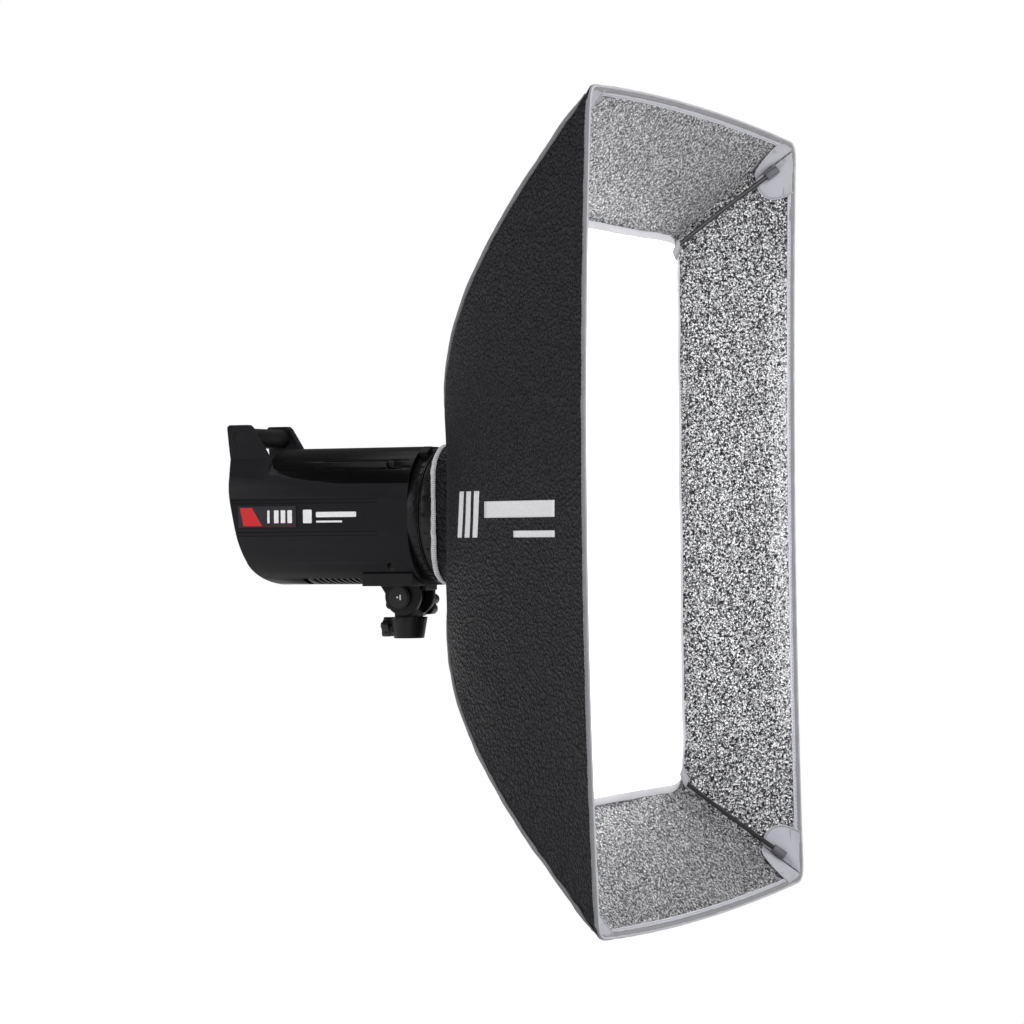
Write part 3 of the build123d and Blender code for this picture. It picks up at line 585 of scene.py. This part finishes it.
def front_binding():
    """Folded tape over the cut edges of cloth and lining, with a light cord in its fold and two stitch rows.

    The tape's section is drawn from its outer hem, over the edge and back inside: (depth, height) pairs.
    """
    path, axis = open_edge()
    path, axis = softened(path, 2), softened(axis)
    back = -np.cross(directions(path, True), axis)
    back *= np.where(back[:, 1:2] > 0, 1, -1)
    outline = np.array([(0.0032, 0.0004), (0.0029, 0.0008), (0.0016, 0.0010), (0.0, 0.0009),
                        (-0.0010, 0.0001), (-0.0013, -0.0010), (-0.0010, -0.0022), (0.0, -0.0032),
                        (0.0026, -0.0036), (0.0052, -0.0035), (0.0057, -0.0028), (0.0046, -0.0019)])
    wave = 0.0006 * ripple(path, 0.02, 4.0) + 0.0005 * ripple(path, 0.007, 8.0)
    rings = (path[:, None] + back[:, None] * outline[None, :, :1] + axis[:, None] * outline[None, :, 1:]
             + axis[:, None] * wave[:, None, None])
    tape = add_mesh("binding_tape", rings.reshape(-1, 3),
                    grid_faces(len(path), len(outline), wrap_rows=True, wrap_columns=True))
    finish_piece(tape, MATERIALS["grey_binding"], "softbox", "grey_binding", "front_binding")
    cord_path = path - back * 0.0006 - axis * 0.0020
    cord = sweep("binding_edge_cord", cord_path, axis, round_profile(0.0012, 8), closed=True)
    finish_piece(cord, MATERIALS["light_cord"], "softbox", "grey_binding", "front_binding")
    rows = []
    for inset, lift in ((0.0023, 0.0010), (0.0044, -0.0037)):
        row = path + back * inset + axis * lift + axis * wave[:, None]
        rows.append(stitches("stitch_row", row, axis))
    thread = join_pieces("binding_stitches", rows)
    finish_piece(thread, MATERIALS["thread"], "softbox", "grey_binding", "front_binding")


def hook_tape():
    """Tape sewn inside the opening for a front diffuser, one strip on each side."""
    rows = []
    for number, side in enumerate(SIDES):
        width = panel_width(side, 0.97)
        f = np.linspace(0.010 / width, 1 - 0.010 / width, 120)
        depths = np.array([0.0050, 0.0055, 0.0063, 0.0072, 0.0080, 0.0088, 0.0094])
        t, across = np.meshgrid(1 - depths / ROD_LENGTH, f, indexing="ij")
        lift = -(LINING_INSET + 0.0012) * np.ones_like(t)
        lift[[0, -1]] += 0.0008
        base = wall(side, t, across)
        lift += 0.0005 * ripple(base, 0.02, 31.0 + number)
        strip = grid_piece("hook_tape_" + side, skin(side, t, across, lift), 0.0007)
        finish_piece(strip, MATERIALS["hook_tape"], "softbox", "pocket_cloth", "hook_strip")
        row_f = np.linspace(f[0], f[-1], 200)
        row_t = np.full(200, 1 - 0.0072 / ROD_LENGTH)
        line = skin(side, row_t, row_f, np.full(200, -(LINING_INSET + 0.0021)))
        rows.append(stitches("row", line, wall_normal(side, np.full(200, 0.96), row_f)))
    thread = join_pieces("hook_tape_stitches", rows)
    finish_piece(thread, MATERIALS["thread"], "softbox", "pocket_cloth", "hook_strip")


def hem_joins():
    """Short stitched joins in the hem of the two tall walls."""
    joins = []
    for side in ("left", "right"):
        for height in (0.055, -0.040):
            t = 1 - np.linspace(0.0075, 0.0210, 12) / ROD_LENGTH
            f = np.full(12, 0.5 + height / panel_width(side, 1.0))
            line = skin(side, t, f, np.full(12, -(LINING_INSET + 0.0008)))
            joins.append(sweep("join", line, wall_normal(side, t, f), round_profile(0.0006, 6)))
    finish_piece(join_pieces("hem_join_stitches", joins), MATERIALS["thread"], "softbox", "silver_lining")


def corner_pockets():
    """Round-cut reinforcement flaps over the rod ends, on the two walls that meet at each corner."""
    flaps, rims, creases = [], [], []
    size, tall_reach, short_reach = 0.054, 0.044, 0.036
    for side in SIDES:
        reach = tall_reach if side in ("left", "right") else short_reach
        for end in (0, 1):
            radial = np.linspace(0.0, 1.0, 16)
            turn = np.linspace(0.0, math.pi / 2, 20)
            share, angle = np.meshgrid(radial, turn, indexing="ij")
            depth = 0.0016 + size * share * np.cos(angle)
            along = 0.0006 + reach * share * np.sin(angle)
            t = 1 - depth / ROD_LENGTH
            width = panel_width(side, 0.9)
            f = along / width if end == 0 else 1 - along / width
            swell = 0.0040 * (1 - share ** 3) * np.sin(2 * angle) * np.minimum(share * 3, 1)
            swell = (swell + 0.0012) * np.clip((depth - 0.0016) / 0.005, 0, 1)
            lift = -(LINING_INSET + 0.0006 + swell)
            base = wall(side, t, f)
            lift = lift + 0.0005 * ripple(base, 0.012, 60.0 + end)
            flaps.append(grid_piece("flap", skin(side, t, f, lift)))
            rim = skin(side, t[-1], f[-1], lift[-1] - 0.0004)
            rims.append(sweep("rim", rim, wall_normal(side, t[-1], f[-1]), round_profile(0.0008, 6)))
            line_f = np.linspace(0.002, reach * 0.93, 30) / width
            line_f = line_f if end == 0 else 1 - line_f
            line_t = np.full(30, 1 - 0.0165 / ROD_LENGTH)
            crease = skin(side, line_t, line_f, np.full(30, -(LINING_INSET + 0.0030)))
            upward = wall_normal(side, line_t, line_f)
            creases.append(sweep("crease", crease, upward, round_profile(0.0005, 6)))
    pocket = join_pieces("corner_pocket_flaps", flaps)
    shell = pocket.modifiers.new("thickness", "SOLIDIFY")
    shell.thickness = 0.0006
    finish_piece(pocket, MATERIALS["pocket_cloth"], "softbox", "pocket_cloth", "corner_pockets")
    edge = join_pieces("corner_pocket_rims", rims)
    finish_piece(edge, MATERIALS["pocket_cloth"], "softbox", "pocket_cloth", "corner_pockets")
    seams = join_pieces("corner_pocket_seams", creases)
    finish_piece(seams, MATERIALS["thread"], "softbox", "pocket_cloth", "corner_pockets")


def seam_piping():
    """Covered cord in each seam."""
    tubes = []
    for side in ("left", "right"):
        for end in (0, 1):
            t, f = np.linspace(0.02, 0.985, 300), np.full(300, float(end))
            line, axis = skin(side, t, f, np.full(300, 0.0017)), wall_normal(side, t, f)
            swell = 1 + 0.16 * ripple(line, 0.012, 20.0 + end)
            bumps = 0.0009 * ripple(line, 0.028, 40.0 + end) * np.linspace(0.4, 1.6, len(line))
            line = line + axis * bumps[:, None]
            taper = 0.25 + 0.75 * np.clip((1 - np.linspace(0, 1, len(line))) * 16, 0, 1)
            line = line - axis * (0.0016 * (1 - taper))[:, None]
            profile = round_profile(0.0023, 10)[None] * (swell * taper)[:, None, None]
            tubes.append(sweep("tube", line, axis, profile))
    piping = join_pieces("seam_piping_cord", tubes)
    finish_piece(piping, MATERIALS["piping_cloth"], "softbox", "grey_binding", "seam_piping")


def root_line():
    """Closed line of the cloth's section at the speedring, with its outward direction."""
    corners = [wall(side, 0.0, np.linspace(0, 1, 60))[::order][:-1]
               for side, order in (("right", 1), ("top", -1), ("left", -1), ("bottom", 1))]
    path = even(np.vstack(corners), ROOT_STEP, closed=True)
    outward = np.cross(directions(path, True), [0.0, 1.0, 0.0])
    middle = np.array([0.0, ROOT_Y, AXIS_Z])
    outward *= np.sign((outward * (path - middle)).sum(1, keepdims=True))
    return path, softened(outward)


def root_band(name, back, front, lift, columns):
    """Band of cloth round the speedring, between two lines of Y and raised by lift."""
    path, outward = root_line()
    share = np.linspace(0, 1, columns)[:, None]
    y = back + (front - back) * share
    points = path[None] + outward[None] * lift[..., None]
    points[..., 1] = y
    return grid_piece(name, points, 0.0009, wrap_columns=True)


def rear_collar():
    """Light raw edge of the cloth where it closes round the speedring."""
    path, _ = root_line()
    wave = 0.0009 * ripple(path, 0.016, 2.0) + 0.0007 * ripple(path, 0.006, 6.0)
    front = collar_high.y - COLLAR_WIDTH + 0.0008 * ripple(path, 0.02, 9.0)
    share = np.linspace(0, 1, 7)[:, None]
    lift = 0.0011 + 0.0008 * np.sin(math.pi * share) + 0.7 * wave[None] * (0.4 + share)
    band = root_band("collar_band", collar_high.y + wave, front, lift, 7)
    finish_piece(band, MATERIALS["collar_cloth"], "softbox", "collar_cloth", "rear_collar")


def sleeve():
    """Black cloth drawn in round the speedring's rim and over it, from the raw edge to the flare."""
    path, outward = root_line()
    back = collar_high.y - 0.0012
    share = np.linspace(0, 1, 20)[:, None]
    pleat = 0.00012 * np.sin(2 * math.pi * np.arange(len(path))[None] / 7 + 3 * ripple(path, 0.05, 17.0))
    lift = 0.0002 + pleat * np.sin(math.pi * share) + 0.0005 * ripple(path, 0.03, 21.0)[None]
    lift = lift + 0.0036 * np.clip((share - 0.86) / 0.14, 0, 1)
    over = path[None] + outward[None] * lift[..., None]
    over[..., 1] = back + (ROOT_Y - 0.0018 - back) * share
    middle = np.array([0.0, back, AXIS_Z])
    spoke = path - middle
    spoke[:, 1] = 0.0
    reach = np.linalg.norm(spoke, axis=1, keepdims=True)
    drawn = np.linspace(0, 1, 8, endpoint=False)[:, None, None]
    inside = middle + spoke / reach * (RIM_R + (reach - RIM_R) * drawn)
    inside[..., 1] = back - 0.0012 * np.sin(math.pi * drawn[..., 0])
    cloth = grid_piece("cloth_sleeve", np.concatenate([inside, over]), 0.0009, wrap_columns=True)
    finish_piece(cloth, MATERIALS["black_nylon"], "softbox", "black_nylon", "fabric_panel_left")


def inner_diffuser():
    """White cloth on four elastic tabs: its edges curve in between the corners."""
    half_w = (diffuser_high.x - diffuser_low.x) / 2
    half_h = (diffuser_high.z - diffuser_low.z) / 2
    y0 = (diffuser_low.y + diffuser_high.y) / 2

    def cloth_point(u, v):
        pull = 1 - 0.060 * np.abs(u * v) ** 16
        x = u * pull * (half_w - 0.002 * (1 - v ** 2))
        z = v * pull * (half_h - 0.003 * (1 - u ** 2))
        rim = np.maximum(np.abs(u), np.abs(v))
        flat = np.stack([x, 0 * x, z], axis=-1)
        slack = 0.0016 * ripple(flat, 0.07, 70.0) * rim ** 6 + 0.002 * (1 - u ** 2) * (1 - v ** 2)
        fold = 0.0012 * np.sin(26 * u * v) * (np.abs(u * v)) ** 3
        return np.stack([x, y0 + slack + fold, AXIS_Z + z], axis=-1)

    u, v = np.meshgrid(np.linspace(-1, 1, 90), np.linspace(-1, 1, 110), indexing="ij")
    cloth = grid_piece("diffuser_sheet", cloth_point(u, v), 0.0006)
    finish_piece(cloth, MATERIALS["diffuser_cloth"], "softbox", "diffuser_cloth", "inner_diffuser")
    around = np.linspace(-1, 1, 100)
    ends = np.ones_like(around)
    loop = np.concatenate([np.stack([around, -ends], 1)[:-1], np.stack([ends, around], 1)[:-1],
                           np.stack([-around, ends], 1)[:-1], np.stack([-ends, -around], 1)[:-1]])
    rows = []
    for inset, lift in ((0.0, 0.0), (0.001, -0.0012), (0.0075, -0.0012), (0.0085, -0.0006)):
        shrink = np.array([1 - inset / half_w, 1 - inset / half_h])
        edge = cloth_point(*(loop * shrink).T)
        edge[:, 1] += lift - 0.0003
        rows.append(edge)
    hem = grid_piece("diffuser_hem", np.array(rows), 0.0004, wrap_columns=True)
    finish_piece(hem, MATERIALS["hem_cloth"], "softbox", "diffuser_cloth", "inner_diffuser")
    straps = []
    for sx in (-1, 1):
        for sz in (-1, 1):
            corner = cloth_point(np.array(float(sx)), np.array(float(sz)))
            outward = np.array([sx * 0.62, 0.0, sz * 0.78])
            reach = [(-0.008, -0.0026), (-0.004, -0.0030), (0.0, -0.0034), (0.006, -0.0040), (0.011, -0.0052)]
            path = np.array([corner + outward * a + np.array([0, b, 0]) for a, b in reach])
            side_axis = np.cross(outward, [0, 1, 0])
            flat = [(-0.007, -0.0004), (0.007, -0.0004), (0.0072, 0.0004), (-0.0072, 0.0004)]
            path = even(path, 0.002)
            straps.append(sweep("strap", path, np.tile(side_axis, (len(path), 1)), flat))
    tabs = join_pieces("diffuser_tabs", straps)
    finish_piece(tabs, MATERIALS["strap_web"], "softbox", "strap_web", "diffuser_straps")


def badge():
    """A plain printed mark on the near panel: three slanting bars, a long bar and a short bar."""
    low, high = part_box("badge_patch")
    length, height = high.y - low.y, high.z - low.z
    shapes = [(-0.16, -0.10, 0.02, 1.16), (-0.06, 0.00, 0.02, 1.16), (0.04, 0.10, 0.02, 1.16),
              (0.19, 0.98, 0.50, 0.90), (0.52, 0.98, 0.02, 0.18)]
    bars = []
    for start, stop, bottom, top in shapes:
        slant = 0.03 if stop - start < 0.1 else 0.0
        u, v = np.meshgrid(np.linspace(0, 1, 24), np.linspace(0, 1, 8), indexing="ij")
        y = high.y - length * (start + (stop - start) * u + slant * v)
        z = low.z + height * (bottom + (top - bottom) * v)
        t = depth_to_t(y)
        widths = np.interp(t, np.linspace(0, 1, 30), [panel_width("left", a) for a in np.linspace(0, 1, 30)])
        f = 0.5 + (z - AXIS_Z) / widths
        base = wall("left", t, f)
        lift = 0.0009 + 0.0011 * ripple(base, 0.11, 0.0) + 0.0005 * ripple(base, 0.035, 9.0)
        bars.append(grid_piece("bar", skin("left", t, f, lift)))
    mark = join_pieces("printed_bars", bars)
    shell = mark.modifiers.new("thickness", "SOLIDIFY")
    shell.thickness = 0.0003
    finish_piece(mark, MATERIALS["printed_mark"], "softbox", "printed_mark", "badge_patch")


# ---- flash head ---------------------------------------------------------------------------------
BEVELS = {
    "side_cover_left": 0.0012, "side_cover_right": 0.0012, "top_cover": 0.001, "bottom_tray": 0.0006,
    "rear_panel": 0.0006, "handle_bar": 0.001, "lock_ring": 0.0006, "speedring": 0.0005,
    "adapter_ring": 0.0006, "tilt_fork": 0.0012, "pivot_cap": 0.001, "tilt_lever": 0.0012,
    "stand_yoke": 0.001, "stand_knob": 0.001, "control_dial": 0.0006, "mains_inlet": 0.0005,
    "power_switch": 0.0006, "display_window": 0.0005, "label_plates": 0.0003, "casing_screws": 0.0003,
    "push_button_1": 0.0006, "push_button_2": 0.0006, "push_button_3": 0.0006, "fan_frame": 0.0005,
    "tilt_axle": 0.0005, "retaining_ring": 0.0004, "front_flange": 0.0004, "rod_tips": 0.0008,
}


def dress_cad_nodes():
    """Every CAD node that stays gets its slot's material and rounded edges."""
    slots = {part["node"]: part["material_slot"] for part in frame["record"]["subparts"]}
    for name, node in NODES.items():
        material = MATERIALS.get(slots[name])
        node.data.materials.clear()
        node.data.materials.append(material)
        width = BEVELS.get(name)
        if width:
            weld = node.modifiers.new("weld", "WELD")
            weld.merge_threshold = 0.00001
            bevel = node.modifiers.new("edges", "BEVEL")
            bevel.width = width
            bevel.segments = 2
            bevel.limit_method = "ANGLE"
            bevel.angle_limit = math.radians(35)
            bevel.harden_normals = True


def flat_mark(name, outline, x):
    """A thin printed shape on the upright flank at x, from (y, z) points."""
    outward, lift = 1 if x > 0 else -1, 0.0002
    count = len(outline)
    vertices = [(x, y, z) for y, z in outline] + [(x + outward * lift, y, z) for y, z in outline]
    faces = [tuple(range(count)), tuple(range(count, 2 * count))]
    faces += [(i, (i + 1) % count, count + (i + 1) % count, count + i) for i in range(count)]
    return add_mesh(name, vertices, faces, smooth=False)


def bar_outline(y0, y1, z0, z1, corner=0.0006):
    """An upright bar with rounded corners."""
    points = []
    for cy, cz, start in ((y1 - corner, z1 - corner, 0), (y0 + corner, z1 - corner, 1),
                          (y0 + corner, z0 + corner, 2), (y1 - corner, z0 + corner, 3)):
        for step in range(4):
            angle = (start + step / 3) * math.pi / 2
            points.append((cy + corner * math.cos(angle), cz + corner * math.sin(angle)))
    return points


def cap_mark():
    """Small plain bright bar and dot on the pivot cap's face."""
    low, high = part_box("pivot_cap")
    shapes = []
    middle_y, middle_z = (low.y + high.y) / 2, (low.z + high.z) / 2
    face = low.x if abs(low.x) > abs(high.x) else high.x
    face += math.copysign(0.00005, face)
    shapes.append(flat_mark("bar", bar_outline(middle_y - 0.0030, middle_y - 0.0014, middle_z - 0.0028,
                                               middle_z + 0.0028, 0.0004), face))
    shapes.append(flat_mark("dot", bar_outline(middle_y + 0.0002, middle_y + 0.0020, middle_z - 0.0009,
                                               middle_z + 0.0009), face))
    mark = join_pieces("pivot_cap_mark", shapes)
    finish_piece(mark, MATERIALS["printed_mark"], "flash_head", "label_film")
    mark.data.polygons.foreach_set("use_smooth", [False] * len(mark.data.polygons))


def head_labels():
    """Plain printed label: a red wedge, four white bars, and a plain mark further forward."""
    white, red = [], []
    for sign in (-1, 1):
        face = sign * (label_high.x + 0.00005)
        top, bottom = label_high.z - 0.0015, label_low.z + 0.0015
        rear = label_high.y
        wedge = [(rear - 0.002, top), (rear - 0.016, top), (rear - 0.028, bottom), (rear - 0.006, bottom)]
        red.append(flat_mark("wedge", wedge, face))
        underline = bar_outline(label_low.y + 0.002, rear - 0.028, bottom, bottom + 0.0007)
        red.append(flat_mark("line", underline, face))
        for index in range(4):
            y = rear - 0.034 - 0.0078 * index
            width = 0.0026 if index == 0 else 0.0052
            white.append(flat_mark("bar", bar_outline(y - width, y, bottom + 0.0028, top - 0.0028), face))
        flank = sign * (abs(cover_low.x) + 0.00002)
        for start, length, low, high in ((0.089, 0.010, -0.007, 0.007), (0.074, 0.046, -0.001, 0.0045),
                                         (0.074, 0.030, -0.0065, -0.0045)):
            outline = bar_outline(start - length, start, AXIS_Z + low, AXIS_Z + high, 0.0009)
            white.append(flat_mark("mark", outline, flank))
    whites = join_pieces("head_white_marks", white)
    finish_piece(whites, MATERIALS["printed_mark"], "flash_head", "label_film")
    reds = join_pieces("head_red_wedges", red)
    finish_piece(reds, MATERIALS["red_ink"], "flash_head", "label_film")
    for piece in (whites, reds):
        piece.data.polygons.foreach_set("use_smooth", [False] * len(piece.data.polygons))


# ---- light, floor and camera --------------------------------------------------------------------
def area_light(name, place, target, size, power):
    lamp = bpy.data.lights.new(name, "AREA")
    lamp.shape = "RECTANGLE"
    lamp.size, lamp.size_y = size
    lamp.energy = power
    holder = bpy.data.objects.new(name, lamp)
    holder.location = place
    holder.rotation_euler = (Vector(target) - Vector(place)).to_track_quat("-Z", "Y").to_euler()
    bpy.context.scene.collection.objects.link(holder)


def stage():
    """Pale floor that turns to plain white far from the object, inside a plain white dome."""
    floor_z = -0.62
    corners = [(-9, -9, floor_z), (9, -9, floor_z), (9, 9, floor_z), (-9, 9, floor_z)]
    floor = add_mesh("floor", corners, [(0, 1, 2, 3)])
    s = Shader("floor", grey(0.82), 0.7)
    s.color(s.noise(3, 4), (0.3, grey(0.80)), (0.7, grey(0.84)))
    distance = s.nodes.new("ShaderNodeVectorMath")
    distance.operation = "LENGTH"
    s.links.new(s.place, distance.inputs[0])
    fade = s.nodes.new("ShaderNodeMapRange")
    fade.interpolation_type = "SMOOTHSTEP"
    fade.inputs["From Min"].default_value = 0.7
    fade.inputs["From Max"].default_value = 1.6
    s.links.new(distance.outputs["Value"], fade.inputs["Value"])
    white = s.nodes.new("ShaderNodeEmission")
    mix = s.nodes.new("ShaderNodeMixShader")
    s.links.new(fade.outputs["Result"], mix.inputs["Fac"])
    s.links.new(s.surface.outputs[0], mix.inputs[1])
    s.links.new(white.outputs[0], mix.inputs[2])
    s.links.new(mix.outputs[0], s.nodes["Material Output"].inputs["Surface"])
    floor.data.materials.append(s.material)
    turn = np.linspace(0, 2 * math.pi, 48, endpoint=False)
    rise = np.linspace(-0.5, math.pi / 2 - 0.02, 16)
    angle, up = np.meshgrid(turn, rise)
    dome_points = np.stack([np.cos(angle) * np.cos(up), np.sin(angle) * np.cos(up), np.sin(up)], axis=-1) * 11
    dome = grid_piece("dome", dome_points, wrap_columns=True)
    shell = Shader("dome", grey(1.0), 1.0)
    glow = shell.nodes.new("ShaderNodeEmission")
    shell.links.new(glow.outputs[0], shell.nodes["Material Output"].inputs["Surface"])
    dome.data.materials.append(shell.material)
    dome.visible_diffuse = dome.visible_glossy = dome.visible_transmission = dome.visible_shadow = False
    world = bpy.data.worlds.new("studio")
    world.use_nodes = True
    world.node_tree.nodes["Background"].inputs["Color"].default_value = (1, 1, 1, 1)
    world.node_tree.nodes["Background"].inputs["Strength"].default_value = 0.17
    bpy.context.scene.world = world


def lights():
    area_light("key", (-2.4, -2.2, 1.8), (0, -0.1, 0.1), (1.6, 1.6), 75)
    area_light("fill", (-1.2, 2.6, 0.9), (0, 0, 0.1), (1.8, 1.4), 18)
    area_light("top", (0.3, -0.2, 3.0), (0, -0.1, 0), (2.4, 2.4), 45)
    area_light("front", (0.9, -3.2, 1.2), (0, -0.3, 0.1), (1.4, 1.4), 22)


def camera():
    """A long lens, level with the light's axis and far round to its side."""
    azimuth, elevation, roll = math.radians(-66.94), math.radians(-0.25), math.radians(-0.59)
    distance, aside, lens_per_width = 3.661, -0.193, 3.540
    level_share = math.cos(elevation)
    back = Vector((math.sin(azimuth) * level_share, -math.cos(azimuth) * level_share, math.sin(elevation)))
    level = Vector((math.cos(azimuth), math.sin(azimuth), 0))
    rise = back.cross(level)
    right = level * math.cos(roll) + rise * math.sin(roll)
    up = rise * math.cos(roll) - level * math.sin(roll)
    data = bpy.data.cameras.new("camera")
    data.lens = lens_per_width * data.sensor_width
    view = bpy.data.objects.new("camera", data)
    opening = Vector((0, FRONT_Y, AXIS_Z))
    rotation = Matrix((right, up, back)).transposed().to_4x4()
    view.matrix_world = Matrix.Translation(opening + back * distance + right * aside) @ rotation
    bpy.context.scene.collection.objects.link(view)
    bpy.context.scene.camera = view


panels()
front_binding()
hook_tape()
hem_joins()
corner_pockets()
seam_piping()
rear_collar()
sleeve()
inner_diffuser()
badge()
dress_cad_nodes()
head_labels()
cap_mark()
stage()
lights()
camera()
bpy.context.scene.view_settings.view_transform = "Standard"
